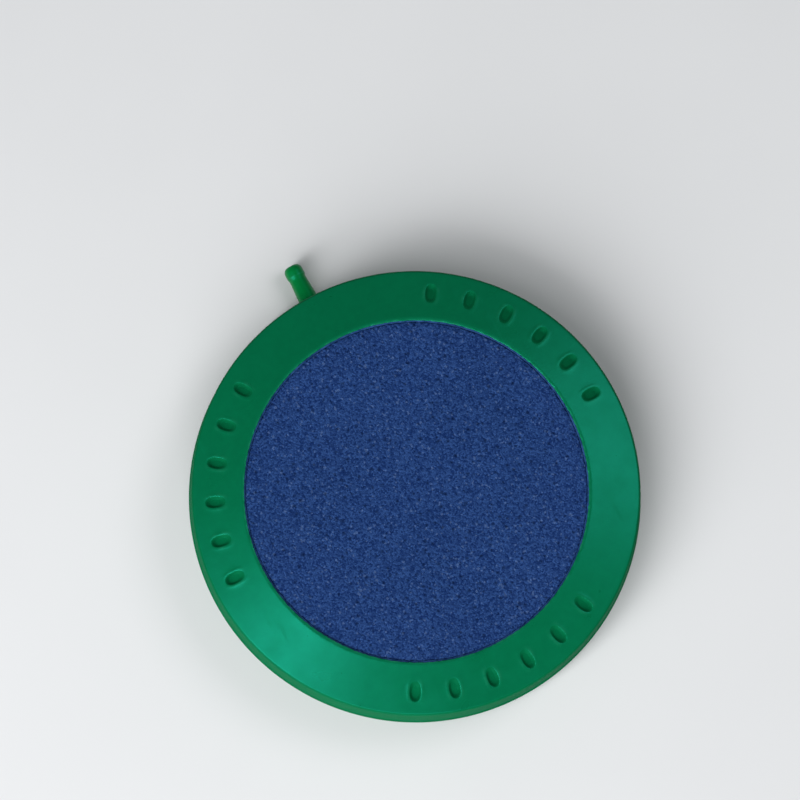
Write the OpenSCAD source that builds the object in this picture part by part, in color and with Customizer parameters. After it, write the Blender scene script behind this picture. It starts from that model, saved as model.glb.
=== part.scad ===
// Round air stone for ponds and aquariums.
// A green two-shell dish carries a flat disc of blue porous stone. Air comes in through a
// barbed inlet at the side, fills the chamber under the stone and leaves through its pores.
// The disc rests on the plane z = 0, the stone faces +Z, and the inlet points along +Y.

/* [Disc] */
// Outside diameter of the disc, at its rim edge
disc_d = 125; // [122:1:128]
// Overall height of the disc, from its resting face to the lip round the stone
disc_h = 22; // [21:0.5:24]
// Diameter of the round opening that the stone sits in
lip_d = 94.9; // [93:0.1:96]
// Width of the flat lip round that opening
lip_land = 0.8; // [0.6:0.1:1.2]
// Slope of the top face, falling outwards, in degrees
top_slope = 13; // [11:1:14]
// Draft of the skirt below the shoulder, in degrees
skirt_draft = 2; // [1:0.5:3]
// Radius of the shoulder between the top face and the skirt
shoulder_r = 1; // [0.8:0.1:1.4]
// Wall thickness of both shells
wall = 2; // [1.8:0.1:2.1]

/* [Rim edge] */
// Height of the plane where the two shells meet
seam_z = 8; // [7.9:0.1:8.4]
// Thickness of the rounded bead round the rim
bead_t = 1; // [0.8:0.1:1.2]
// How far the bead stands out past the foot of the skirt
bead_out = 0.3; // [0.2:0.1:0.4]
// How far the bead overhangs the lower shell
overhang = 1.7; // [1.5:0.1:1.9]

/* [Dimples] */
// Groups of dimples round the top face
dimple_groups = 3; // [1:1:3]
// Dimples in each group
dimples_each = 6; // [1:1:8]
// Angle from one dimple to the next, in degrees
dimple_pitch = 11.25; // [9:0.25:12]
// Distance of the dimples from the disc's axis
dimple_ring_r = 55.3; // [55:0.1:56]
// Length of a dimple, along the radius
dimple_l = 5.9; // [4.5:0.1:6]
// Width of a dimple
dimple_w = 3.3; // [2.8:0.1:3.4]
// Depth of a dimple
dimple_depth = 1.3; // [0.8:0.05:1.35]

/* [Stone] */
// Thickness of the porous stone
stone_t = 12; // [11.5:0.1:12.4]
// How far the stone's face lies below the lip
stone_recess = 0.4; // [0.2:0.1:0.8]
// Gap round the stone that the bonding bead fills
stone_gap = 0.4; // [0.3:0.1:0.6]
// Thickness of the bonding bead under the stone
bond_t = 0.3; // [0.2:0.1:0.4]

/* [Air inlet] */
// Height of the inlet's axis above the resting face
inlet_z = 4.6; // [4.5:0.1:4.8]
// Distance of the inlet's tip from the disc's axis
inlet_tip_r = 73.8; // [72:0.1:76]
// Diameter of the inlet where it leaves the disc
inlet_d = 5.7; // [5.5:0.1:5.8]
// Diameter of the waist behind the barb
waist_d = 4.7; // [4.6:0.1:4.9]
// Diameter of the barb that grips 4 mm airline hose
barb_d = 5.2; // [5.1:0.1:5.4]
// Diameter of the air passage
passage_d = 2.4; // [2:0.1:2.6]

/* [Inside] */
// Support ribs on the chamber floor
rib_count = 6; // [4:2:6]
// Webs between the seat wall and the skirt, under the top face
web_count = 12; // [6:6:12]
// Weep holes that let water into the hollow rim
weep_count = 6; // [3:3:6]
// Diameter of a weep hole
weep_d = 3.5; // [2.5:0.1:3.6]

/* [Hidden] */
$fn = 144;
eps = 0.01;
arc_steps = 8;
small_arc_steps = 3;
hole_fn = 48;
inlet_fn = 64;
edge_r = 0.25;

disc_r = disc_d / 2;
lip_r = lip_d / 2;
lip_out_r = lip_r + lip_land;
bead_top_z = seam_z + bead_t;
bead_round = 0.45 * bead_out;
skirt_foot_r = disc_r - bead_out;

// Stone, its seat and the chamber wall below it
stone_r = lip_r - stone_gap;
stone_top_z = disc_h - stone_recess;
stone_z = stone_top_z - stone_t;
stone_chamfer = 0.4;
ledge_t = 2;
ledge_w = 4.2;
ledge_top_z = stone_z - bond_t;
ledge_z = ledge_top_z - ledge_t;
ledge_in_r = lip_r - ledge_w;
seat_out_r = lip_r + wall;
chamber_step = 1;
chamber_t = 2;
chamber_out_r = lip_r - chamber_step;
chamber_in_r = chamber_out_r - chamber_t;
bond_drop = 1.6;
bond_top_z = stone_top_z - bond_drop;

// Tongue-and-groove joints between the shells
joint_gap = 0.15;
groove_h = 1;
tongue_h = 0.85;
tongue_w = 1;
tongue_step = 0.6;
flange_w = 1.2;
flange_t = 1.3;
dish_top_r = disc_r - overhang;
tongue_out_r = dish_top_r - tongue_step;
tongue_in_r = tongue_out_r - tongue_w;
flange_in_r = tongue_in_r - joint_gap - flange_w;
flange_top_z = seam_z + groove_h + flange_t;

// Lower shell
dish_draft = 8;
corner_r = 3;
foot_recess = 0.6;
foot_ring_in_r = 53;
foot_pad_r = 14;
foot_slope = 0.3;
foot_notch_w = 6;
foot_notch_count = 3;
foot_notch_first = 30;
foot_notch_in_r = foot_ring_in_r - 1;
weep_ring_r = 50.2;
weep_first = foot_notch_first + 180 / weep_count;
weep_sink = 0.3;
rib_t = 1.2;
rib_h = 1.6;
hub_r = 6;
post_ring_r = 26;
post_r = 2.5;
post_gap = 0.2;
boss_r = 4;
boss_l = 6;
boss_in = 1.6;
boss_set_in = 1.2;
boss_gap = 0.2;

// Middle of the first group of dimples, and the angle from one group to the next
group_first = 30;
group_pitch = 120;

// Webs under the top face
web_t = 1.2;
web_z = 15;

// Inlet stations along its axis, counted back from its tip
shank_r = 2.2;
shank_in_r = chamber_in_r - boss_in;
collar_back = 15.8;
taper_back = 12;
waist_back = [4.4, 3.9];
barb_back = [3, 1.9];
nose_r = 1.5;
collar_chamfer = 0.3;
inlet_gap = 0.15;

sealant_colour = [0.1, 0.22, 0.4];

// The point where two lines meet. A line is a unit normal n and a distance c, with n * p = c.
function meet(n1, c1, n2, c2) =
    let (det = n1[0] * n2[1] - n1[1] * n2[0])
    [(c1 * n2[1] - c2 * n1[1]) / det, (n1[0] * c2 - n2[0] * c1) / det];

function unit(a) = [cos(a), sin(a)];

// Points of an arc of radius r about c, from angle a0 to a1, in n steps.
function arc(c, r, a0, a1, n) =
    [for (i = [0:n]) c + r * unit(a0 + (a1 - a0) * i / n)];

// Rounds corner q, between its neighbours p and s, to radius r.
function fillet(p, q, s, r) =
    let (
        u = (p - q) / norm(p - q),
        v = (s - q) / norm(s - q),
        half = acos(u * v) / 2,
        c = q + (u + v) / norm(u + v) * r / sin(half),
        from = q + u * r / tan(half) - c,
        to = q + v * r / tan(half) - c,
        a0 = atan2(from[1], from[0]),
        turn = (atan2(to[1], to[0]) - a0 + 540) % 360 - 180
    )
    arc(c, r, a0, a0 + turn, r < 1 ? small_arc_steps : arc_steps);

// An outline from corners [x, y, fillet radius]; a radius of 0 keeps the corner sharp.
function rounded(corners) =
    let (n = len(corners), flat = [for (c = corners) [c[0], c[1]]])
    [for (i = [0:n - 1])
        each corners[i][2] > 0
            ? fillet(flat[(i + n - 1) % n], flat[i], flat[(i + 1) % n], corners[i][2])
            : [flat[i]]];

// Top face and skirt, as lines in the (radius, height) plane, and where they meet
top_n = unit(90 - top_slope);
top_c = top_n * [lip_out_r, disc_h];
skirt_n = unit(skirt_draft);
skirt_c = skirt_n * [skirt_foot_r, bead_top_z];
shoulder = meet(skirt_n, skirt_c, top_n, top_c);
shoulder_in = meet(skirt_n, skirt_c - wall, top_n, top_c - wall);

// Height of the top face at radius r, and radius of the skirt's inner face at height z
function top_z(r) = (top_c - top_n[0] * r) / top_n[1];
function under_top_z(r) = (top_c - wall - top_n[0] * r) / top_n[1];
function skirt_in_r(z) = (skirt_c - wall - skirt_n[1] * z) / skirt_n[0];

// Side wall of the lower shell, and its bottom corners
dish_n = unit(-dish_draft);
dish_c = dish_n * [dish_top_r, seam_z];
dish_corner = meet(dish_n, dish_c, [0, -1], 0);
dish_corner_in = meet(dish_n, dish_c - wall, [0, -1], -wall);
dish_in_top_r = (dish_c - wall - dish_n[1] * seam_z) / dish_n[0];

// A ring of rectangular section
module band(r_in, r_out, z_low, z_high) {
    rotate_extrude()
        translate([r_in, z_low])
            square([r_out - r_in, z_high - z_low]);
}

// A shape that points along +X, repeated evenly round the disc's axis
module round_disc(count, first = 0) {
    for (i = [0:count - 1])
        rotate([0, 0, first + 360 * i / count])
            children();
}

// Places a shape modelled along +Z on the inlet's axis, pointing along +Y
module on_inlet_axis() {
    translate([0, 0, inlet_z])
        rotate([-90, 0, 0])
            children();
}

// One round-bottomed oval dimple, cut square to the sloping top face
module dimple_cut() {
    rise = dimple_w / 2 - dimple_depth;
    half_run = (dimple_l - dimple_w) / 2;
    translate([dimple_ring_r, 0, top_z(dimple_ring_r)])
        rotate([0, top_slope, 0])
            translate([0, 0, rise]) {
                rotate([0, 90, 0])
                    cylinder(h = 2 * half_run, d = dimple_w, center = true, $fn = hole_fn);
                for (side = [-1, 1])
                    translate([side * half_run, 0, 0])
                        sphere(d = dimple_w, $fn = hole_fn);
            }
}

module dimples() {
    span = dimple_pitch * (dimples_each - 1);
    for (g = [0:dimple_groups - 1], i = [0:dimples_each - 1])
        rotate([0, 0, group_first + group_pitch * g - span / 2 + dimple_pitch * i])
            dimple_cut();
}

// Section of the upper shell: lip, top face, shoulder, skirt, rim bead, flange, seat wall, ledge
module rim_section() {
    polygon(rounded([
        [lip_r, ledge_top_z, 0],
        [lip_r, disc_h, edge_r],
        [lip_out_r, disc_h, edge_r],
        [shoulder[0], shoulder[1], shoulder_r],
        [skirt_foot_r, bead_top_z, bead_round],
        [disc_r, bead_top_z, bead_round],
        [disc_r, seam_z, bead_round],
        [tongue_out_r + joint_gap, seam_z, 0],
        [tongue_out_r + joint_gap, seam_z + groove_h, 0],
        [tongue_in_r - joint_gap, seam_z + groove_h, 0],
        [tongue_in_r - joint_gap, seam_z, 0],
        [flange_in_r, seam_z, 0],
        [flange_in_r, flange_top_z, edge_r],
        [skirt_in_r(flange_top_z), flange_top_z, edge_r],
        [shoulder_in[0], shoulder_in[1], 2 * edge_r],
        [seat_out_r, under_top_z(seat_out_r), 2 * edge_r],
        [seat_out_r, ledge_z, edge_r],
        [chamber_out_r + joint_gap, ledge_z, 0],
        [chamber_out_r + joint_gap, ledge_z + groove_h, 0],
        [chamber_in_r - joint_gap, ledge_z + groove_h, 0],
        [chamber_in_r - joint_gap, ledge_z, 0],
        [ledge_in_r, ledge_z, edge_r],
        [ledge_in_r, ledge_top_z, 0]
    ]));
}

// The space under the top face that the webs fill, a little into the walls round it
module web_section() {
    into = wall / 2;
    polygon([
        [seat_out_r - into, web_z],
        [skirt_in_r(web_z) + into, web_z],
        [shoulder_in[0] - into, under_top_z(shoulder_in[0] - into) + into],
        [seat_out_r - into, under_top_z(seat_out_r - into) + into]
    ]);
}

module webs() {
    intersection() {
        rotate_extrude() web_section();
        round_disc(web_count, 180 / web_count)
            translate([0, -web_t / 2, web_z])
                cube([disc_r, web_t, disc_h - web_z]);
    }
}

module rim_ring() {
    color([0.03, 0.45, 0.27])
        difference() {
            union() {
                rotate_extrude() rim_section();
                webs();
            }
            dimples();
        }
}

// Section of the lower shell: foot pad, recessed floor, foot ring, corner, side wall and tongue
module dish_section() {
    polygon(rounded([
        [0, 0, 0],
        [foot_pad_r, 0, edge_r],
        [foot_pad_r + foot_slope, foot_recess, edge_r],
        [foot_ring_in_r - foot_slope, foot_recess, edge_r],
        [foot_ring_in_r, 0, edge_r],
        [dish_corner[0], 0, corner_r],
        [dish_top_r, seam_z, edge_r],
        [tongue_out_r, seam_z, 0],
        [tongue_out_r, seam_z + tongue_h, 0],
        [tongue_in_r, seam_z + tongue_h, 0],
        [tongue_in_r, seam_z, 0],
        [dish_in_top_r, seam_z, 0],
        [dish_corner_in[0], wall, corner_r - wall],
        [0, wall, 0]
    ]));
}

module chamber_wall() {
    band(chamber_in_r, chamber_out_r, wall - eps, ledge_z + tongue_h);
}

// Thickened seat in the chamber wall that the inlet's shank is pushed into
module inlet_boss() {
    intersection() {
        on_inlet_axis()
            translate([0, 0, chamber_in_r - boss_set_in])
                cylinder(h = boss_l, r = boss_r);
        translate([-boss_r, 0, wall - eps])
            cube([2 * boss_r, disc_r, ledge_z - boss_gap - wall]);
    }
}

module floor_ribs() {
    round_disc(rib_count)
        translate([hub_r - eps, -rib_t / 2, wall - eps])
            cube([chamber_in_r - hub_r + 2 * eps, rib_t, rib_h]);
    band(hub_r - rib_t, hub_r, wall - eps, wall + rib_h);
}

module stone_posts() {
    round_disc(rib_count)
        translate([post_ring_r, 0, wall - eps])
            cylinder(h = stone_z - post_gap - wall, r = post_r);
}

// A weep hole through the recessed floor, with a small countersink below
module weep_cut() {
    translate([weep_ring_r, 0, 0]) {
        cylinder(h = wall + eps, d = weep_d, $fn = hole_fn);
        translate([0, 0, foot_recess - eps])
            cylinder(h = weep_sink, d1 = weep_d + 2 * weep_sink, d2 = weep_d, $fn = hole_fn);
    }
}

module base_dish() {
    color([0.02, 0.38, 0.22])
        difference() {
            union() {
                rotate_extrude() dish_section();
                chamber_wall();
                inlet_boss();
                floor_ribs();
                stone_posts();
            }
            // seat for the shank, and a clear hole for the barrel through the side wall
            on_inlet_axis()
                translate([0, 0, chamber_in_r - 2 * boss_in])
                    cylinder(h = boss_l + 2 * boss_in, r = shank_r);
            on_inlet_axis()
                translate([0, 0, inlet_tip_r - collar_back])
                    cylinder(h = collar_back, r = inlet_d / 2 + inlet_gap);
            round_disc(weep_count, weep_first)
                weep_cut();
            // notches that let water pass under the foot ring
            round_disc(foot_notch_count, foot_notch_first)
                translate([foot_notch_in_r, -foot_notch_w / 2, -eps])
                    cube([disc_r, foot_notch_w, foot_recess + eps]);
        }
}

module porous_stone() {
    color([0.14, 0.23, 0.44])
        rotate_extrude()
            polygon([
                [0, stone_z],
                [stone_r, stone_z],
                [stone_r, stone_top_z - stone_chamfer],
                [stone_r - stone_chamfer, stone_top_z],
                [0, stone_top_z]
            ]);
}

// Bead of sealant under the stone's edge and up its side
module stone_bond() {
    color(sealant_colour)
        rotate_extrude()
            polygon([
                [ledge_in_r, ledge_top_z],
                [lip_r, ledge_top_z],
                [lip_r, bond_top_z],
                [stone_r, bond_top_z],
                [stone_r, stone_z],
                [ledge_in_r, stone_z]
            ]);
}

// Cement that fills a groove round a tongue
module groove_fill(r_in, r_out, z) {
    rotate_extrude()
        polygon([
            [r_in - joint_gap, z],
            [r_in - joint_gap, z + groove_h],
            [r_out + joint_gap, z + groove_h],
            [r_out + joint_gap, z],
            [r_out, z],
            [r_out, z + tongue_h],
            [r_in, z + tongue_h],
            [r_in, z]
        ]);
}

module rim_bond() {
    color(sealant_colour)
        groove_fill(tongue_in_r, tongue_out_r, seam_z);
}

module chamber_bond() {
    color(sealant_colour)
        groove_fill(chamber_in_r, chamber_out_r, ledge_z);
}

// Section of the inlet: shank, barrel, taper, waist, barb and rounded nose, round a straight passage
module inlet_section() {
    tip = inlet_tip_r;
    nose_l = barb_back[1];
    barb_r = barb_d / 2;
    polygon(concat(
        rounded([
            [passage_d / 2, shank_in_r, 0],
            [shank_r, shank_in_r, edge_r],
            [shank_r, tip - collar_back - collar_chamfer, 0],
            [inlet_d / 2, tip - collar_back, 0],
            [inlet_d / 2, tip - taper_back, edge_r],
            [waist_d / 2, tip - waist_back[0], edge_r],
            [waist_d / 2, tip - waist_back[1], edge_r],
            [barb_r, tip - barb_back[0], 0]
        ]),
        [for (i = [0:arc_steps]) let (a = 90 * i / arc_steps)
            [nose_r + (barb_r - nose_r) * cos(a), tip - nose_l * (1 - sin(a))]],
        [[passage_d / 2, tip]]
    ));
}

module air_inlet() {
    color([0.02, 0.42, 0.22])
        on_inlet_axis()
            rotate_extrude($fn = inlet_fn) inlet_section();
}

rim_ring();
base_dish();
porous_stone();
stone_bond();
rim_bond();
chamber_bond();
air_inlet();
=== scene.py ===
"""Looks for a round air stone disc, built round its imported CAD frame.

The disc rests on z = 0 with its stone facing +Z, and the air inlet points along +Y. Blender works in
metres. Outlines are written in millimetres, and MM turns them into metres.
"""
import math

import bmesh
import bpy
import numpy as np
from mathutils import Matrix, Vector


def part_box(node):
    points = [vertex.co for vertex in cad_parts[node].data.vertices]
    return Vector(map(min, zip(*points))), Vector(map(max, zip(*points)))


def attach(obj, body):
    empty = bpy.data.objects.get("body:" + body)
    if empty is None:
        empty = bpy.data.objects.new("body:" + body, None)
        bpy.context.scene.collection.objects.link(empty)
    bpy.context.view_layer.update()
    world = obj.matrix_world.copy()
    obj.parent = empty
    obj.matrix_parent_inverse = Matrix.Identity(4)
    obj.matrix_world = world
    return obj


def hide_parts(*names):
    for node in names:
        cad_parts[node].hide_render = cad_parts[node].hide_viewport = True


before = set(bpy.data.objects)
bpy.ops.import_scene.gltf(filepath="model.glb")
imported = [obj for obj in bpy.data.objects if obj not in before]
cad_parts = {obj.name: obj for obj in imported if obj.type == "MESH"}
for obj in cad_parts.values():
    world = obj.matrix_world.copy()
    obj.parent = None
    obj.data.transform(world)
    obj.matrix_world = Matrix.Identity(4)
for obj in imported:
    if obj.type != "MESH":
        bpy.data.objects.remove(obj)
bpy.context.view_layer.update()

MM = 0.001
BODY = "root"


def box_mm(node):
    """A CAD node's lowest and highest corners, in millimetres."""
    low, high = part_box(node)
    return np.array(low) / MM, np.array(high) / MM


# Sizes read from the frame, in millimetres
RIM_LOW, RIM_HIGH = box_mm("rim_ring")
STONE_LOW, STONE_HIGH = box_mm("porous_stone")
BOND_LOW, BOND_HIGH = box_mm("stone_bond")
INLET_LOW, INLET_HIGH = box_mm("air_inlet")
DISC_R = RIM_HIGH[0]
LIP_Z = RIM_HIGH[2]
LEDGE_Z = RIM_LOW[2]
STONE_R = STONE_HIGH[0]
STONE_Z = STONE_LOW[2]
STONE_TOP = STONE_HIGH[2]
LIP_R = BOND_HIGH[0]
LEDGE_TOP = BOND_LOW[2]
INLET_Z = (INLET_LOW[2] + INLET_HIGH[2]) / 2
INLET_R = INLET_HIGH[0]
INLET_TIP = INLET_HIGH[1]
INLET_ROOT = INLET_LOW[1]

# Sizes of the moulding that its box doesn't give, in millimetres and radians
WALL = 2.0
LIP_LAND = 0.8
LAND_ROUND = 3.0
LIP_ROUND = 0.15
TOP_SLOPE = math.radians(13)
SKIRT_DRAFT = math.radians(2)
SHOULDER_R = 1.0
SEAM_Z = 8.0
BEAD_T = 1.0
BEAD_OUT = 0.3
BEAD_ROUND = 0.45 * BEAD_OUT
LEDGE_W = 4.2
JOINT_GAP = 0.15
GROOVE_H = 1.0
TONGUE_W = 1.0
TONGUE_INSET = 2.3  # of the tongue's outer side, from the disc's edge
FLANGE_W = 1.2
FLANGE_TOP = SEAM_Z + 2.3
CHAMBER_STEP = 1.0
CHAMBER_T = 2.0
HIDDEN_ROUND = 0.25
DIMPLE_R = 55.3
DIMPLE_L = 5.9
DIMPLE_W = 3.3
DIMPLE_DEPTH = 1.05
DIMPLE_PITCH = math.radians(11.25)
DIMPLE_GROUPS = (math.radians(30), math.radians(150), math.radians(270))
DIMPLES_EACH = 6


# ---------------------------------------------------------------- outlines and meshes

def meet(n1, c1, n2, c2):
    """The point where two lines meet, each a unit normal n and a distance c with n . p = c."""
    return np.linalg.solve(np.array([n1, n2]), np.array([c1, c2]))


def fillet(before, corner, after, radius, steps):
    """The corner as an arc of that radius."""
    u = (before - corner) / np.linalg.norm(before - corner)
    v = (after - corner) / np.linalg.norm(after - corner)
    half = math.acos(float(np.clip(u @ v, -1, 1))) / 2
    centre = corner + (u + v) / np.linalg.norm(u + v) * radius / math.sin(half)
    first = corner + u * radius / math.tan(half) - centre
    last = corner + v * radius / math.tan(half) - centre
    start = math.atan2(first[1], first[0])
    turn = (math.atan2(last[1], last[0]) - start + math.pi) % (2 * math.pi) - math.pi
    angles = [start + turn * i / steps for i in range(steps + 1)]
    return [centre + radius * np.array([math.cos(a), math.sin(a)]) for a in angles]


def rounded(corners, closed=True):
    """An outline from corners (r, z, fillet radius, fillet steps). Radius 0 means a sharp corner."""
    flat = [np.array(c[:2], float) for c in corners]
    points = []
    for i, (_, _, radius, steps) in enumerate(corners):
        if radius <= 0 or (not closed and i in (0, len(corners) - 1)):
            points.append(flat[i])
        else:
            points += fillet(flat[i - 1], flat[i], flat[(i + 1) % len(flat)], radius, steps)
    return np.array(points)


def filled(outline, longest, closed=True):
    """The outline with points added so that no stretch is longer than longest."""
    ends = np.roll(outline, -1, axis=0) if closed else outline[1:]
    points = []
    for a, b in zip(outline, ends):
        n = max(1, math.ceil(np.linalg.norm(b - a) / longest))
        points += [a + (b - a) * i / n for i in range(n)]
    return np.array(points if closed else points + [outline[-1]])


def on_circle(r, z, angle):
    """Points in the part's frame, from radius, height and angle."""
    return np.stack([r * np.cos(angle), r * np.sin(angle), z * np.ones_like(angle)], axis=-1)


def ripple(angle, seed, slowest, fastest, count):
    """A smooth, seeded, periodic wobble of about unit height round the disc."""
    rng = np.random.default_rng(seed)
    turns = rng.integers(slowest, fastest, count)
    phase = rng.uniform(0, 2 * math.pi, count)
    return sum(np.cos(k * angle + p) for k, p in zip(turns, phase)) / math.sqrt(count / 2)


def smoothstep(t):
    t = np.clip(t, 0, 1)
    return t * t * (3 - 2 * t)


def grid_faces(rows, columns, first=0, closed_rows=True):
    """Quads between rows of points that each go right round."""
    faces = []
    for i in range(rows if closed_rows else rows - 1):
        a, b = first + i * columns, first + ((i + 1) % rows) * columns
        faces += [(a + j, b + j, b + (j + 1) % columns, a + (j + 1) % columns) for j in range(columns)]
    return faces


def zipper(ring_a, ring_b):
    """Triangles between two closed rings of vertex numbers, whose counts may differ."""
    na, nb = len(ring_a), len(ring_b)
    i = j = 0
    faces = []
    while i < na or j < nb:
        if j >= nb or (i < na and (i + 0.5) / na <= (j + 0.5) / nb):
            faces.append((ring_a[i % na], ring_b[j % nb], ring_a[(i + 1) % na]))
            i += 1
        else:
            faces.append((ring_a[i % na], ring_b[j % nb], ring_b[(j + 1) % nb]))
            j += 1
    return faces


def make_piece(name, points_mm, faces, material, marks=None):
    """A mesh object from points in millimetres, riding on the body. marks are per-vertex numbers."""
    mesh = bpy.data.meshes.new(name)
    mesh.from_pydata((np.asarray(points_mm) * MM).tolist(), [], faces)
    mesh.validate()
    for mark, values in (marks or {}).items():
        layer = mesh.attributes.new(mark, "FLOAT", "POINT")
        layer.data.foreach_set("value", np.asarray(values, dtype=np.float32))
    mesh.polygons.foreach_set("use_smooth", [True] * len(mesh.polygons))
    mesh.materials.append(material)
    piece = bpy.data.objects.new(name, mesh)
    bpy.context.collection.objects.link(piece)
    face_outwards(mesh)
    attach(piece, BODY)
    return piece


def face_outwards(mesh):
    """Turns the faces of a closed mesh outwards."""
    work = bmesh.new()
    work.from_mesh(mesh)
    bmesh.ops.recalc_face_normals(work, faces=work.faces)
    work.to_mesh(mesh)
    work.free()


# ---------------------------------------------------------------- materials

class Shader:
    """A material's node tree, with short calls for the nodes used here."""

    def __init__(self, name):
        self.material = bpy.data.materials.new(name)
        self.material.use_nodes = True
        self.nodes = self.material.node_tree.nodes
        self.links = self.material.node_tree.links
        self.surface = self.nodes["Principled BSDF"]

    def node(self, kind, inputs=None, **settings):
        made = self.nodes.new(kind)
        for key, value in settings.items():
            setattr(made, key, value)
        for key, value in (inputs or {}).items():
            self.put(made.inputs[key], value)
        return made

    def put(self, socket, value):
        """Links an output, or sets a plain value."""
        if isinstance(value, bpy.types.NodeSocket):
            self.links.new(value, socket)
        else:
            socket.default_value = value

    def set(self, **inputs):
        for key, value in inputs.items():
            self.put(self.surface.inputs[key.replace("_", " ")], value)

    def place(self):
        return self.node("ShaderNodeTexCoord").outputs["Object"]

    def noise(self, scale, detail=2.0, rough=0.5, stretch=None):
        where = self.place()
        if stretch:
            where = self.node("ShaderNodeMapping", {"Vector": where, "Scale": stretch}).outputs["Vector"]
        made = self.node("ShaderNodeTexNoise", {"Vector": where, "Scale": scale, "Detail": detail})
        made.inputs["Roughness"].default_value = rough
        return made.outputs["Fac"]

    def voronoi(self, scale, feature="F1", output="Distance"):
        inputs = {"Vector": self.place(), "Scale": scale}
        return self.node("ShaderNodeTexVoronoi", inputs, feature=feature).outputs[output]

    def remap(self, value, low, high, to_low, to_high):
        made = self.node("ShaderNodeMapRange", {"Value": value})
        ends = {"From Min": low, "From Max": high, "To Min": to_low, "To Max": to_high}
        for key, number in ends.items():
            made.inputs[key].default_value = number
        return made.outputs["Result"]

    def math(self, operation, a, b):
        return self.node("ShaderNodeMath", {0: a, 1: b}, operation=operation).outputs["Value"]

    def mix(self, factor, a, b):
        made = self.node("ShaderNodeMix", data_type="RGBA", blend_type="MIX")
        for socket, value in ((made.inputs[0], factor), (made.inputs[6], a), (made.inputs[7], b)):
            self.put(socket, value)
        return made.outputs[2]

    def tint(self, colour, factor):
        """The colour, made lighter or darker by a factor from a node."""
        if not isinstance(colour, bpy.types.NodeSocket):
            colour = colour[:3]
        made = self.node("ShaderNodeVectorMath", {0: colour, "Scale": factor}, operation="SCALE")
        return made.outputs["Vector"]

    def mark(self, name):
        return self.node("ShaderNodeAttribute", attribute_name=name).outputs["Fac"]

    def bump(self, height, distance, strength, normal=None):
        made = self.node("ShaderNodeBump", {"Height": height, "Distance": distance, "Strength": strength})
        if normal is not None:
            self.put(made.inputs["Normal"], normal)
        return made.outputs["Normal"]


def green_plastic(name, colour, roughness, specular, marked=True):
    """Moulded green plastic: faint flow marks, fine skin, hairline scratches, paler edges that are partly
    wear and partly a painted highlight, and painted shade in the recesses.
    """
    s = Shader(name)
    flow = s.remap(s.noise(22, 3.0, stretch=(1.0, 1.0, 2.5)), 0.3, 0.7, 0.94, 1.06)
    fine = s.remap(s.noise(520, 2.0), 0.3, 0.7, 0.96, 1.04)
    base = s.tint(s.tint(colour, flow), fine)
    scratch = s.remap(s.noise(700, 2.0, 0.6, stretch=(1.0, 0.04, 0.4)), 0.66, 0.74, 0.0, 1.0)
    if marked:
        patchy = s.remap(s.noise(450, 2.0), 0.38, 0.68, 0.0, 0.8)
        # paler green: partly wear, partly a painted highlight along the lip, the bead and the dimples'
        # raised sides
        base = s.mix(s.math("MULTIPLY", s.mark("wear_and_highlight"), patchy), base, GREEN_PALE)
        # painted shade: darker in the dimples and inside the inlet's bore
        base = s.tint(base, s.remap(s.mark("painted_recess_shade"), 0.0, 1.0, 1.0, 0.86))
    rough = s.remap(s.noise(160, 3.0), 0.3, 0.7, roughness - 0.03, roughness + 0.05)
    rough = s.math("ADD", rough, s.math("MULTIPLY", scratch, 0.12))
    if marked:
        satin = s.math("MAXIMUM", s.mark("satin"), s.math("MULTIPLY", s.mark("painted_recess_shade"), 0.8))
        rough = s.math("ADD", rough, s.math("MULTIPLY", satin, 0.45))
    skin = s.bump(s.noise(1500, 3.0, 0.6), 0.00003, 0.5)
    skin = s.bump(s.noise(130, 2.0), 0.0001, 0.3, skin)
    s.set(Base_Color=base, Roughness=rough, Normal=skin)
    s.surface.inputs["IOR"].default_value = 1.49
    s.surface.inputs["Specular IOR Level"].default_value = specular
    s.surface.inputs["Specular Tint"].default_value = (0.04, 1.0, 0.78, 1)
    return s.material


def sand_stone(name):
    """Bound sand dyed blue: grains of differing tone, painted shade between the grains and in the pores,
    a few pale and glassy grains.
    """
    s = Shader(name)
    dark = (0.0010, 0.012, 0.082, 1)
    light = (0.030, 0.080, 0.248, 1)
    pale = (0.10, 0.17, 0.35, 1)
    pore_shade_colour = (0.003, 0.010, 0.045, 1)
    tone = s.node("ShaderNodeSeparateColor", {"Color": s.voronoi(2300, output="Color")}).outputs["Red"]
    tone = s.math("ADD", s.math("MULTIPLY", tone, 0.75), s.math("MULTIPLY", s.noise(4200, 2.0), 0.25))
    base = s.mix(tone, dark, light)
    glint = s.node("ShaderNodeSeparateColor", {"Color": s.voronoi(1900, output="Color")}).outputs["Green"]
    glint = s.remap(glint, 0.955, 0.97, 0.0, 0.42)
    base = s.mix(glint, base, pale)
    # painted shade: darker towards each grain's edge, where the grains meet
    base = s.tint(base, s.remap(s.voronoi(2300, "DISTANCE_TO_EDGE"), 0.0, 0.14, 0.7, 1.0))
    base = s.tint(base, s.remap(s.noise(45, 3.0), 0.3, 0.7, 0.96, 1.04))
    # painted shade in the pores
    base = s.mix(s.math("MULTIPLY", s.mark("pore"), 0.7), base, pore_shade_colour)
    rough = s.remap(glint, 0.0, 0.42, 0.9, 0.5)
    height = s.math("SUBTRACT", s.remap(s.noise(5200, 3.0, 0.6), 0, 1, 0, 0.5), s.voronoi(2300))
    s.set(Base_Color=base, Roughness=rough, Normal=s.bump(height, 0.00016, 0.7))
    s.surface.inputs["Specular IOR Level"].default_value = 0.15
    s.surface.inputs["Specular Tint"].default_value = (0.35, 0.55, 1.0, 1)
    return s.material


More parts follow.
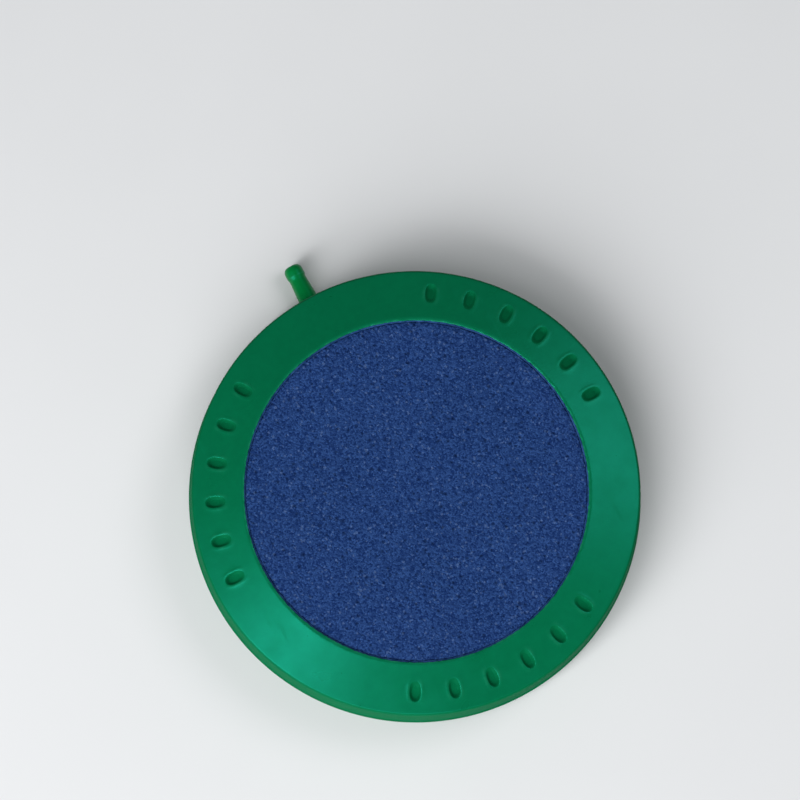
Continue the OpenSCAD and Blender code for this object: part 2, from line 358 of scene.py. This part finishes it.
def sealant(name):
    """Cured sealant: smoky blue, slightly clouded."""
    s = Shader(name)
    cloud = s.remap(s.noise(620, 3.0), 0.36, 0.64, 0.0, 1.0)
    base = s.mix(cloud, (0.006, 0.030, 0.105, 1), (0.022, 0.070, 0.205, 1))
    rough = s.remap(s.noise(700, 2.0), 0.3, 0.7, 0.6, 0.8)
    s.set(Base_Color=base, Roughness=rough, Normal=s.bump(s.noise(600, 3.0), 0.0001, 0.5))
    s.surface.inputs["Specular IOR Level"].default_value = 0.06
    return s.material


def pale_floor(name):
    s = Shader(name)
    base = s.tint((0.72, 0.73, 0.74, 1), s.remap(s.noise(9, 3.0), 0.3, 0.7, 0.985, 1.015))
    s.set(Base_Color=base, Roughness=s.remap(s.noise(60, 2.0), 0.3, 0.7, 0.55, 0.65))
    return s.material


GREEN = (0.0008, 0.119, 0.043, 1)
GREEN_DARK = (0.0008, 0.108, 0.039, 1)
GREEN_INLET = (0.0008, 0.165, 0.030, 1)
# the paler green of wear and painted highlight
GREEN_PALE = (0.030, 0.28, 0.16, 1)
RIM_PLASTIC = green_plastic("rim_plastic", GREEN, 0.30, 0.65)
SATIN_PLASTIC = green_plastic("satin_plastic", GREEN, 0.30, 0.05)
DISH_PLASTIC = green_plastic("dish_plastic", GREEN_DARK, 0.42, 0.3, marked=False)
INLET_PLASTIC = green_plastic("inlet_plastic", GREEN_INLET, 0.30, 0.4)
STONE_GRAIN = sand_stone("stone_grain")
SEALANT = sealant("sealant")


# ---------------------------------------------------------------- rim ring

COARSE = 480
FINE = 6
STRIP_ROWS = 46
STRIP_MARGIN = 0.6  # how far the finely meshed strip runs past the ends of the dimples
ROW_GAP = 0.05  # least distance from the strip's ends to the coarse rows beside them
SHOWN_STEP = 1.2
HIDDEN_STEP = 4
COLUMN_MARGIN = 0.8  # how far the fine columns run past the sides of a dimple
DIMPLE_REACH = 0.06  # half the angle round a dimple that its shape can change, in radians

# A dimple's outline and section: lengths in millimetres, and shares of its size, depth, paleness or
# painted shade
DIMPLE_POWER = 2.4  # 2 makes the outline an ellipse, and more makes it squarer
WALL_WIDTH, WALL_NARROWING = 0.5, 0.12
DEPTH_MIDDLE, DEPTH_SLANT = 0.74, 0.36
WALL_SHARE, BOWL_SHARE = 0.86, 0.14
# the dimples' raised sides are painted paler, partly for wear and partly as a painted highlight
BULGE_AWAY, BULGE_WIDTH, BULGE_RISE, BULGE_WEAR_AND_HIGHLIGHT = 0.35, 0.42, 0.05, 0.2
# painted shade in a dimple: its share at the inner end, and what the outer end adds
SHADE_INNER, SHADE_OUTER = 0.45, 0.55

# How far the lip's edge wanders in and out, finely and slowly, and how far it dips
FINE_WOBBLE, SLOW_WOBBLE, LIP_DIPS = 0.050, 0.04, 0.05

# Where the wear and painted highlight and the finely textured skirt lie, and how strong they are
LIP_WEAR_AND_HIGHLIGHT, LIP_WEAR_AND_HIGHLIGHT_WIDTH = 0.4, 0.35
BEAD_WEAR_AND_HIGHLIGHT, BEAD_WEAR_AND_HIGHLIGHT_WIDTH = 0.2, 0.3
SATIN_TOP = LIP_Z - 3.3  # where the skirt's texture starts, fading in downwards
SKIRT_TOP = LIP_Z - 3.05  # the skirt's faces lie below this height and outside this radius
SKIRT_IN_R = DISC_R - 1.5
MATT_FROM = 0.2  # the shade in a dimple from which its faces are matt


def rim_outline():
    """The rim ring's outline in two stretches: what shows, from the bead up to the lip, and the rest."""
    top_n = np.array([math.sin(TOP_SLOPE), math.cos(TOP_SLOPE)])
    skirt_n = np.array([math.cos(SKIRT_DRAFT), math.sin(SKIRT_DRAFT)])
    top_c = top_n @ [LIP_R + LIP_LAND, LIP_Z]
    skirt_c = skirt_n @ [DISC_R - BEAD_OUT, SEAM_Z + BEAD_T]
    shoulder = meet(skirt_n, skirt_c, top_n, top_c)
    inner = meet(skirt_n, skirt_c - WALL, top_n, top_c - WALL)
    groove_out = DISC_R - TONGUE_INSET + JOINT_GAP
    groove_in = DISC_R - TONGUE_INSET - TONGUE_W - JOINT_GAP
    flange_in = groove_in - FLANGE_W
    skirt_in = (skirt_c - WALL - skirt_n[1] * FLANGE_TOP) / skirt_n[0]
    seat_out = LIP_R + WALL
    under_top = (top_c - WALL - top_n[0] * seat_out) / top_n[1]
    chamber_out = LIP_R - CHAMBER_STEP + JOINT_GAP
    chamber_in = LIP_R - CHAMBER_STEP - CHAMBER_T - JOINT_GAP
    shown = rounded([
        (groove_out, SEAM_Z, 0, 0),
        (DISC_R, SEAM_Z, BEAD_ROUND, 4),
        (DISC_R, SEAM_Z + BEAD_T, BEAD_ROUND, 4),
        (DISC_R - BEAD_OUT, SEAM_Z + BEAD_T, BEAD_ROUND, 4),
        (*shoulder, SHOULDER_R, 10),
        (LIP_R + LIP_LAND, LIP_Z, LAND_ROUND, 4),
        (LIP_R, LIP_Z, LIP_ROUND, 5),
        (LIP_R, LEDGE_TOP, 0, 0),
    ], closed=False)
    hidden = rounded([
        (LIP_R, LEDGE_TOP, 0, 0),
        (LIP_R - LEDGE_W, LEDGE_TOP, 0, 0),
        (LIP_R - LEDGE_W, LEDGE_Z, HIDDEN_ROUND, 2),
        (chamber_in, LEDGE_Z, 0, 0),
        (chamber_in, LEDGE_Z + GROOVE_H, 0, 0),
        (chamber_out, LEDGE_Z + GROOVE_H, 0, 0),
        (chamber_out, LEDGE_Z, 0, 0),
        (seat_out, LEDGE_Z, HIDDEN_ROUND, 2),
        (seat_out, under_top, 2 * HIDDEN_ROUND, 3),
        (*inner, 2 * HIDDEN_ROUND, 3),
        (skirt_in, FLANGE_TOP, HIDDEN_ROUND, 2),
        (flange_in, FLANGE_TOP, HIDDEN_ROUND, 2),
        (flange_in, SEAM_Z, 0, 0),
        (groove_in, SEAM_Z, 0, 0),
        (groove_in, SEAM_Z + GROOVE_H, 0, 0),
        (groove_out, SEAM_Z + GROOVE_H, 0, 0),
        (groove_out, SEAM_Z, 0, 0),
    ], closed=False)
    return shown, hidden


def along(outline):
    """Distance along an open outline at each of its points."""
    return np.concatenate([[0], np.cumsum(np.linalg.norm(np.diff(outline, axis=0), axis=1))])


def point_at(outline, distance):
    """Points of an open outline at given distances along it."""
    run = along(outline)
    return np.stack([np.interp(distance, run, outline[:, i]) for i in (0, 1)], axis=-1)


def distance_at_radius(outline, radius):
    """How far along the outline its last inward pass reaches that radius."""
    step = np.linspace(0, along(outline)[-1], 4000)
    r = point_at(outline, step)[:, 0]
    return step[np.flatnonzero(r > radius)[-1]]


def turned(angle, centre):
    """Angle from centre, between minus and plus half a turn."""
    return (angle - centre + math.pi) % (2 * math.pi) - math.pi


def dimple_angles():
    half = (DIMPLES_EACH - 1) / 2
    return [g + (i - half) * DIMPLE_PITCH for g in DIMPLE_GROUPS for i in range(DIMPLES_EACH)]


def dimple_shape(outward, across):
    """Rise, paleness and painted shade round one dimple: a scoop with a steep, deep outer end. The
    paleness, on the raised sides, is partly wear and partly a painted highlight.
    """
    u = np.abs(outward) / (DIMPLE_L / 2)
    v = np.abs(across) / (DIMPLE_W / 2)
    size = (u ** DIMPLE_POWER + v ** DIMPLE_POWER) ** (1 / DIMPLE_POWER)
    steep = np.hypot(u / (DIMPLE_L / 2), v / (DIMPLE_W / 2)) / np.maximum(size, 0.05)
    outside = (size - 1) / np.maximum(steep, 0.2)
    outer = np.clip(outward / (DIMPLE_L / 2), -1, 1)
    wall = smoothstep((1 - size) / (WALL_WIDTH - WALL_NARROWING * outer))
    hollow = WALL_SHARE * wall + BOWL_SHARE * np.clip(1 - size ** 2, 0, 1)
    bowl = DIMPLE_DEPTH * (DEPTH_MIDDLE + DEPTH_SLANT * outer) * hollow
    side = v ** 2 / np.maximum(u ** 2 + v ** 2, 0.01)
    # the raised sides, painted paler for wear and as a painted highlight
    bulge = np.exp(-(((outside - BULGE_AWAY) / BULGE_WIDTH) ** 2))
    bulge = side * bulge * smoothstep((size - 0.85) / 0.15)
    deepest = smoothstep((outer + 0.05) / 0.75)
    # painted shade, darkest at the deep outer end
    shade = smoothstep((1.04 - size) / 0.2) * (SHADE_INNER + SHADE_OUTER * deepest)
    return BULGE_RISE * bulge - bowl, BULGE_WEAR_AND_HIGHLIGHT * bulge, shade


def columns():
    """Angles of the coarse columns, and for each the number of fine columns that start there."""
    step = 2 * math.pi / COARSE
    coarse = np.arange(COARSE) * step
    reach = (DIMPLE_W / 2 + COLUMN_MARGIN) / DIMPLE_R + step / 2
    gaps = [min(abs(turned(a + step / 2, d)) for d in dimple_angles()) for a in coarse]
    return coarse, [FINE if gap < reach else 1 for gap in gaps]


def lip_wobble(points, angle):
    """Moves the lip's edge in and out a little, as a trimmed and bonded edge is."""
    reach_r, reach_z = 0.45, 0.6
    near = np.exp(-((points[:, 0] - LIP_R) / reach_r) ** 2 - ((points[:, 1] - LIP_Z) / reach_z) ** 2)
    moved = np.repeat(points[:, None, :], len(angle), axis=1)
    out = FINE_WOBBLE * ripple(angle, 11, 40, 230, 60) + SLOW_WOBBLE * ripple(angle, 12, 3, 19, 8)
    up = LIP_DIPS * ripple(angle, 13, 25, 150, 30) - LIP_DIPS
    moved[:, :, 0] += near[:, None] * out
    moved[:, :, 1] += near[:, None] * np.minimum(up, 0)
    return moved


def edge_wear_and_highlight(loop):
    """How pale each point of the rim's outline is painted, partly for wear and partly as a painted
    highlight: most at the lip and along the bead.
    """
    r, z = loop[:, 0], loop[:, 1]
    lip = np.exp(-(((r - LIP_R) / LIP_WEAR_AND_HIGHLIGHT_WIDTH) ** 2) - ((z - LIP_Z) / LIP_WEAR_AND_HIGHLIGHT_WIDTH) ** 2)
    bead = np.exp(-(((r - DISC_R) / BEAD_WEAR_AND_HIGHLIGHT_WIDTH) ** 2)) * (z < SEAM_Z + BEAD_T + 0.1)
    return np.clip(LIP_WEAR_AND_HIGHLIGHT * lip + BEAD_WEAR_AND_HIGHLIGHT * bead, 0, 1)


def satin_part(loop):
    """How much of the finely textured skirt each point of the rim's outline belongs to."""
    below = smoothstep((SATIN_TOP - loop[:, 1]) / 0.6)
    return below * (loop[:, 0] > DISC_R - 2) * (loop[:, 1] > SEAM_Z - 1)


def dimpled_strip(shown, start, end, fine):
    """Points, wear and painted highlight, and painted shade of the finely meshed strip, row by row
    towards the lip.
    """
    rows = np.linspace(start, end, STRIP_ROWS + 2)[1:-1]
    middle = distance_at_radius(shown, DIMPLE_R)
    base = point_at(shown, rows)
    tangent = point_at(shown, rows + 0.02) - point_at(shown, rows - 0.02)
    tangent /= np.linalg.norm(tangent, axis=1)[:, None]
    normal = np.stack([tangent[:, 1], -tangent[:, 0]], axis=-1)
    rise = np.zeros((STRIP_ROWS, len(fine)))
    wear_and_highlight, painted_shade = np.zeros_like(rise), np.zeros_like(rise)
    for d in dimple_angles():
        turn = turned(fine, d)
        near = np.abs(turn) < DIMPLE_REACH
        across = base[:, :1] * np.sin(turn[near])[None, :]
        up, w, share = dimple_shape((middle - rows)[:, None], across)
        rise[:, near] += up
        wear_and_highlight[:, near] = np.maximum(wear_and_highlight[:, near], w)
        painted_shade[:, near] = np.maximum(painted_shade[:, near], share)
    ends = smoothstep(np.minimum(rows - start, end - rows) / 0.3)
    rise = np.where(rise > 0, rise * ends[:, None], rise)
    r = base[:, :1] + rise * normal[:, :1]
    z = base[:, 1:] + rise * normal[:, 1:]
    return on_circle(r, z, np.broadcast_to(fine, r.shape)), wear_and_highlight, painted_shade


def build_rim():
    """One closed shell: coarse rows all round, and a strip fine enough to carve the dimples in."""
    shown, hidden = rim_outline()
    reach = DIMPLE_L / 2 + STRIP_MARGIN
    middle = distance_at_radius(shown, DIMPLE_R)
    start, end, run = middle - reach, middle + reach, along(shown)
    first_part = np.concatenate([shown[run < start - ROW_GAP], point_at(shown, [start])])
    last_part = np.concatenate([point_at(shown, [end]), shown[run > end + ROW_GAP]])
    loop = np.concatenate([
        filled(last_part, SHOWN_STEP, closed=False),
        filled(hidden, HIDDEN_STEP, closed=False)[1:-1],
        filled(first_part, SHOWN_STEP, closed=False),
    ])
    coarse, counts = columns()
    moved = lip_wobble(loop, coarse)
    points = on_circle(moved[:, :, 0], moved[:, :, 1], np.broadcast_to(coarse, moved.shape[:2]))
    rows = len(loop)
    faces = grid_faces(rows, COARSE, closed_rows=False)

    fine = np.concatenate([a + np.arange(n) * 2 * math.pi / COARSE / n for a, n in zip(coarse, counts)])
    starts = np.concatenate([[0], np.cumsum(counts)])
    strip, strip_wear_and_highlight, strip_painted_shade = dimpled_strip(shown, start, end, fine)
    first, n = rows * COARSE, len(fine)
    faces += grid_faces(STRIP_ROWS, n, first=first, closed_rows=False)
    for row, edge in ((first, (rows - 1) * COARSE), (first + (STRIP_ROWS - 1) * n, 0)):
        for i in range(COARSE):
            between = [row + k % n for k in range(starts[i], starts[i + 1] + 1)]
            faces.append((edge + i, *between, edge + (i + 1) % COARSE))
    marks = {
        "wear_and_highlight": np.concatenate([np.repeat(edge_wear_and_highlight(loop), COARSE), strip_wear_and_highlight.ravel()]),
        "painted_recess_shade": np.concatenate([np.zeros(rows * COARSE), strip_painted_shade.ravel()]),
        "satin": np.concatenate([np.repeat(satin_part(loop), COARSE), np.zeros(strip_wear_and_highlight.size)]),
    }
    all_points = np.concatenate([points.reshape(-1, 3), strip.reshape(-1, 3)])
    piece = make_piece("rim_shell", all_points, faces, RIM_PLASTIC, marks)
    piece.data.materials.append(SATIN_PLASTIC)
    centre = np.array([all_points[list(face)].mean(axis=0) for face in faces])
    outside = np.hypot(centre[:, 0], centre[:, 1]) > SKIRT_IN_R
    on_skirt = outside & (centre[:, 2] < SKIRT_TOP)
    in_dimple = np.array([marks["painted_recess_shade"][list(face)].mean() > MATT_FROM for face in faces])
    piece.data.polygons.foreach_set("material_index", (on_skirt | in_dimple).astype(np.int32))
    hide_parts("rim_ring")


# ---------------------------------------------------------------- stone

GRAIN_STEP = 0.285  # between rings of points, and between the points of a ring
BIG_CELL, SMALL_CELL, PORE_CELL = 0.85, 0.6, 1.9
BIG_RISE, SMALL_RISE = 0.075, 0.05
BIG_REACH, SMALL_REACH = 0.62, 0.44  # how far from a grain's middle it falls to its base level
PORE_SHARE, PORE_DEPTH = 0.30, 0.26  # share of the pore cells that have a pore, and its depth
PORE_LEAST, PORE_SPREAD = 0.22, 0.28  # a pore's least radius, and how much larger it can be
GRAIN_SINK = 0.14  # lowers the grains, so that the highest are about level with the flat face
EDGE_CHAMFER = 0.45
EDGE_BAND = 0.8  # width of the crumbled edge
CRUMBLE = 0.10
# The stone's side, row by row: how far below its face, and how far in from its radius
SIDE_ROWS = ((0.22, 0.17), (0.5, 0.02), (0.9, 0.0), (1.5, 0.0), (4.0, 0.0), (8.0, 0.0))
SIDE_ROUGH = 0.07
# The underside: its chamfer, and its rings as shares of the stone's radius
UNDER_INSET, UNDER_RISE = 0.4, 0.3
UNDER_RINGS = (0.75, 0.4, 0.15)


def scattered(x, y, cell, seed):
    """Nearest of a set of jittered points, one to each square cell: distance and its random numbers."""
    rng = np.random.default_rng(seed)
    size = int(2 * STONE_R / cell) + 8
    spots = rng.random((size, size, 2))
    values = rng.random((size, size, 2))
    gx, gy = x / cell + size / 2, y / cell + size / 2
    ix, iy = np.floor(gx).astype(int), np.floor(gy).astype(int)
    best = np.full(x.shape, 1e9)
    value = np.zeros((*x.shape, 2))
    for dx in (-1, 0, 1):
        for dy in (-1, 0, 1):
            cx, cy = ix + dx, iy + dy
            spot = spots[cx, cy]
            away = np.hypot(cx + spot[..., 0] - gx, cy + spot[..., 1] - gy) * cell
            closer = away < best
            best = np.where(closer, away, best)
            value[closer] = values[cx, cy][closer]
    return best, value


def grain_height(x, y):
    """Height of the sand grains and pores over the stone's flat face, and how deep in a pore."""
    big, size = scattered(x, y, BIG_CELL, seed=21)
    small, _ = scattered(x, y, SMALL_CELL, seed=22)
    pit, chance = scattered(x, y, PORE_CELL, seed=23)
    grains = BIG_RISE * (0.4 + size[..., 0]) * (1 - (big / BIG_REACH) ** 2)
    grains = grains + SMALL_RISE * (1 - (small / SMALL_REACH) ** 2)
    pore_r = PORE_LEAST + PORE_SPREAD * chance[..., 1]
    pore = smoothstep(1.3 - pit / pore_r) * (chance[..., 0] < PORE_SHARE)
    return grains - GRAIN_SINK - PORE_DEPTH * pore, pore


def build_stone():
    """The stone as rings of points: its grained face, its crumbled edge, its side and its underside."""
    rings, marks = [], []
    edge_r = STONE_R - EDGE_CHAMFER
    count = round(edge_r / GRAIN_STEP)
    for i in range(1, count + 1):
        r = edge_r * i / count
        n = max(6, round(2 * math.pi * r / GRAIN_STEP))
        turn = (i % 2) * math.pi / n
        angle = np.arange(n) * 2 * math.pi / n + turn
        x, y = r * np.cos(angle), r * np.sin(angle)
        rise, pore = grain_height(x, y)
        near_edge = smoothstep((r - edge_r + EDGE_BAND) / EDGE_BAND)
        crumble = near_edge * CRUMBLE * (1 + ripple(angle, 31, 40, 260, 30))
        rings.append(np.stack([x, y, STONE_TOP + rise - np.maximum(crumble, 0)], axis=-1))
        marks.append(pore)
    around = len(rings[-1])
    angle = np.arange(around) * 2 * math.pi / around + (count % 2) * math.pi / around
    rough = SIDE_ROUGH * ripple(angle, 32, 60, 300, 40)
    for drop, inset in SIDE_ROWS:
        wobble = np.minimum(rough * (1 if drop < 2 else 0.2), 0.0 if inset < 0.1 else 0.06)
        rings.append(on_circle(STONE_R - inset + wobble, STONE_TOP - drop, angle))
        marks.append(np.zeros(around))
    for r in (STONE_R, STONE_R - UNDER_INSET, *(share * STONE_R for share in UNDER_RINGS)):
        outermost = r == STONE_R
        n = around if outermost else max(24, round(around * r / STONE_R / 3))
        z = STONE_Z + (UNDER_RISE if outermost else 0.0)
        rings.append(on_circle(np.full(n, r), z, np.arange(n) * 2 * math.pi / n))
        marks.append(np.zeros(n))
    rings = [np.array([[0, 0, STONE_TOP - 0.1]])] + rings + [np.array([[0, 0, STONE_Z]])]
    marks = [np.zeros(1)] + marks + [np.zeros(1)]
    offsets = np.concatenate([[0], np.cumsum([len(r) for r in rings])])
    numbers = [list(range(a, b)) for a, b in zip(offsets[:-1], offsets[1:])]
    faces = []
    for a, b in zip(numbers[:-1], numbers[1:]):
        if len(a) == 1:
            faces += [(a[0], b[k], b[(k + 1) % len(b)]) for k in range(len(b))]
        elif len(b) == 1:
            faces += [(b[0], a[(k + 1) % len(a)], a[k]) for k in range(len(a))]
        else:
            faces += zipper(a, b)
    piece = make_piece(
        "porous_disc", np.concatenate(rings), faces, STONE_GRAIN,
        {"pore": np.concatenate(marks)},
    )
    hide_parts("porous_stone")


# ---------------------------------------------------------------- sealant bead

SEALANT_DROP = 0.08  # how far the base level of its top lies below the stone's face
SEALANT_UNEVEN = 0.07
# How far its top climbs over that level at the lip, beside the lip, midway and at the stone
CLIMB_LIP, CLIMB_BESIDE, CLIMB_MIDWAY, CLIMB_STONE = 0.24, 0.10, 0.03, 0.1
BESIDE = 0.14  # how far in from the lip the second of those is


def build_sealant():
    """The bead under the stone and up its side, with an uneven top that climbs the lip and the stone."""
    count = 360
    angle = np.arange(count) * 2 * math.pi / count
    ledge_in = LIP_R - LEDGE_W
    top_z = STONE_TOP - SEALANT_DROP
    outline = rounded([
        (ledge_in, LEDGE_TOP, 0, 0),
        (LIP_R, LEDGE_TOP, 0, 0),
        (LIP_R, top_z + CLIMB_LIP, 0, 0),
        (LIP_R - BESIDE, top_z + CLIMB_BESIDE, 0, 0),
        ((LIP_R + STONE_R) / 2, top_z + CLIMB_MIDWAY, 0, 0),
        (STONE_R, top_z + CLIMB_STONE, 0, 0),
        (STONE_R, STONE_Z, 0, 0),
        (ledge_in, STONE_Z, 0, 0),
    ])
    outline = filled(outline, longest=1.5)
    r = np.repeat(outline[:, :1], count, axis=1)
    z = np.repeat(outline[:, 1:], count, axis=1)
    top = smoothstep((z - top_z + 0.2) / 0.2)
    z = z + top * SEALANT_UNEVEN * ripple(angle, 41, 8, 90, 24)
    points = on_circle(r, z, np.broadcast_to(angle, r.shape)).reshape(-1, 3)
    faces = grid_faces(len(outline), count)
    piece = make_piece("sealant_bead", points, faces, SEALANT)
    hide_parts("stone_bond")


# ---------------------------------------------------------------- air inlet

# Radii and lengths in millimetres. A name that ends in BACK is a distance back from the tip.
BORE_R = 1.2
SHANK_R = 2.2
WAIST_R = 2.35
BARB_R = 2.6
NOSE_R = 1.5
NOSE_L = 1.9
NOSE_STEPS = 10
COLLAR_BACK = 15.8
TAPER_BACK = 12
WAIST_BACK = (4.4, 3.9)
BARB_BACK = 3.0
SEAM_BACK = 15
SEAM_RISE = 0.05
SEAM_REACH = 0.035  # half width of the mould seam, in radians
SEAM_FADE = 1.2  # the seam fades out over this length at the tip
BARB_WEAR_WIDTH, TIP_WEAR_WIDTH = 0.25, 0.3


def build_inlet():
    """The barbed inlet: barrel, taper, waist, barb and round nose, with a mould seam down both sides."""
    count = 144
    tip = INLET_TIP
    barb_end = tip - NOSE_L
    nose = [
        (NOSE_R + (BARB_R - NOSE_R) * math.cos(a), barb_end + NOSE_L * math.sin(a))
        for a in np.linspace(0, math.pi / 2, NOSE_STEPS + 1)
    ]
    body = rounded([
        (BORE_R, INLET_ROOT, 0.1, 2),
        (SHANK_R, INLET_ROOT, 0.3, 3),
        (SHANK_R, tip - COLLAR_BACK - 0.3, 0, 0),
        (INLET_R, tip - COLLAR_BACK, 0, 0),
        (INLET_R, tip - TAPER_BACK, 4, 4),
        (WAIST_R, tip - WAIST_BACK[0], 1.5, 5),
        (WAIST_R, tip - WAIST_BACK[1], 0.5, 4),
        (BARB_R, tip - BARB_BACK, 0.35, 4),
        (BARB_R, barb_end - 0.05, 0, 0),
    ])
    outline = np.concatenate([body, nose, [(BORE_R + 0.08, tip), (BORE_R, tip - 0.1)]])
    outline = filled(outline, longest=0.45)
    angle = np.arange(count) * 2 * math.pi / count
    seam = sum(np.exp(-((turned(angle, side) / SEAM_REACH) ** 2)) for side in (0, math.pi))
    outer = (outline[:, 0] > BORE_R + 0.5) & (outline[:, 1] > tip - SEAM_BACK)
    back = tip - outline[:, 1]
    fade = smoothstep(back / SEAM_FADE)
    r = outline[:, 0][:, None] + SEAM_RISE * seam[None, :] * (outer * fade)[:, None]
    y = np.repeat(outline[:, 1][:, None], count, axis=1)
    points = np.stack([r * np.cos(angle), y, INLET_Z + r * np.sin(angle)], axis=-1).reshape(-1, 3)
    edge = np.exp(-(((BARB_BACK - back) / BARB_WEAR_WIDTH) ** 2))
    edge = edge + np.exp(-((back / TIP_WEAR_WIDTH) ** 2))
    wear_and_highlight = np.clip(0.5 * edge[:, None] * outer[:, None] + 0.5 * seam[None, :] * outer[:, None], 0, 1)
    # painted shade inside the bore
    painted_recess_shade = np.repeat(((outline[:, 0] < BORE_R + 0.05) * 1.0)[:, None], count, axis=1)
    piece = make_piece(
        "inlet_nozzle", points, grid_faces(len(outline), count), INLET_PLASTIC,
        {"wear_and_highlight": wear_and_highlight.ravel(), "painted_recess_shade": painted_recess_shade.ravel()},
    )
    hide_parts("air_inlet")


# ---------------------------------------------------------------- CAD nodes that stay

def dress(node, material):
    """Gives a CAD node its material, and changes nothing else."""
    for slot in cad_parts[node].material_slots:
        slot.material = material


# ---------------------------------------------------------------- stage, light and camera

PICTURE_TURN = math.radians(-27.75)  # the picture's right, as an angle from +X
CAMERA_SIDE = math.radians(256.5)  # the side that the camera leans to, as an angle in the picture
CAMERA_TILT = math.radians(8.4)  # its lean from straight above
LENS = 300.0
SENSOR = 36.0
DISC_SHARE = 0.5648  # of the picture's width, that the disc's diameter takes
ASIDE, BELOW = 0.0186, 0.1222  # of the picture's width, from its middle to the disc's


def leaning(side, tilt):
    """Unit vector upwards, leaning by tilt to a side given as an angle in the picture."""
    angle = side + PICTURE_TURN
    return Vector((math.cos(angle) * math.sin(tilt), math.sin(angle) * math.sin(tilt), math.cos(tilt)))


def look_along(forward, up):
    """Rotation of a camera that looks along forward, with up as near upright as it can be."""
    z = -forward.normalized()
    x = up.cross(z).normalized()
    return Matrix((x, z.cross(x), z)).transposed().to_quaternion()


def build_camera():
    data = bpy.data.cameras.new("camera")
    data.lens, data.sensor_width = LENS, SENSOR
    camera = bpy.data.objects.new("camera", data)
    bpy.context.collection.objects.link(camera)
    width = 2 * DISC_R * MM / DISC_SHARE
    distance = width * LENS / SENSOR
    back = leaning(CAMERA_SIDE, CAMERA_TILT)
    up = leaning(math.pi / 2, math.pi / 2)
    camera.location = Vector((0, 0, SEAM_Z * MM)) + back * distance
    centred = look_along(-back, up)
    aim = centred @ Vector((-ASIDE * width, BELOW * width, -distance))
    camera.rotation_mode = "QUATERNION"
    camera.rotation_quaternion = look_along(aim, up)
    bpy.context.scene.camera = camera


def softbox(name, side, tilt, distance, width, height, power):
    """An area light that faces the disc, its side and tilt in degrees as for the camera."""
    data = bpy.data.lights.new(name, "AREA")
    data.shape = "RECTANGLE"
    data.size, data.size_y = width, height
    data.energy = power
    light = bpy.data.objects.new(name, data)
    bpy.context.collection.objects.link(light)
    back = leaning(math.radians(side), math.radians(tilt))
    light.location = back * distance
    light.rotation_mode = "QUATERNION"
    light.rotation_quaternion = back.to_track_quat("Z", "Y")


def build_stage():
    half = 2.5  # half the floor's side, in metres
    mesh = bpy.data.meshes.new("floor")
    corners = [(-half, -half, 0), (half, -half, 0), (half, half, 0), (-half, half, 0)]
    mesh.from_pydata(corners, [], [(0, 1, 2, 3)])
    mesh.materials.append(pale_floor("floor"))
    floor = bpy.data.objects.new("floor", mesh)
    bpy.context.collection.objects.link(floor)

    world = bpy.data.worlds.new("world")
    world.use_nodes = True
    sky = world.node_tree.nodes["Background"]
    sky.inputs["Color"].default_value = (0.93, 0.96, 1.0, 1)
    sky.inputs["Strength"].default_value = 0.17
    bpy.context.scene.world = world
    softbox("key", side=245, tilt=66, distance=1.5, width=1.8, height=1.8, power=35.5)
    softbox("sheen", side=222, tilt=38, distance=1.0, width=0.2, height=1.0, power=4.6)
    softbox("glint", side=26, tilt=36, distance=1.0, width=0.45, height=0.5, power=2.0)


bpy.context.scene.view_settings.view_transform = "Standard"
build_rim()
build_stone()
build_sealant()
build_inlet()
dress("base_dish", DISH_PLASTIC)
dress("rim_bond", SEALANT)
dress("chamber_bond", SEALANT)
build_stage()
build_camera()
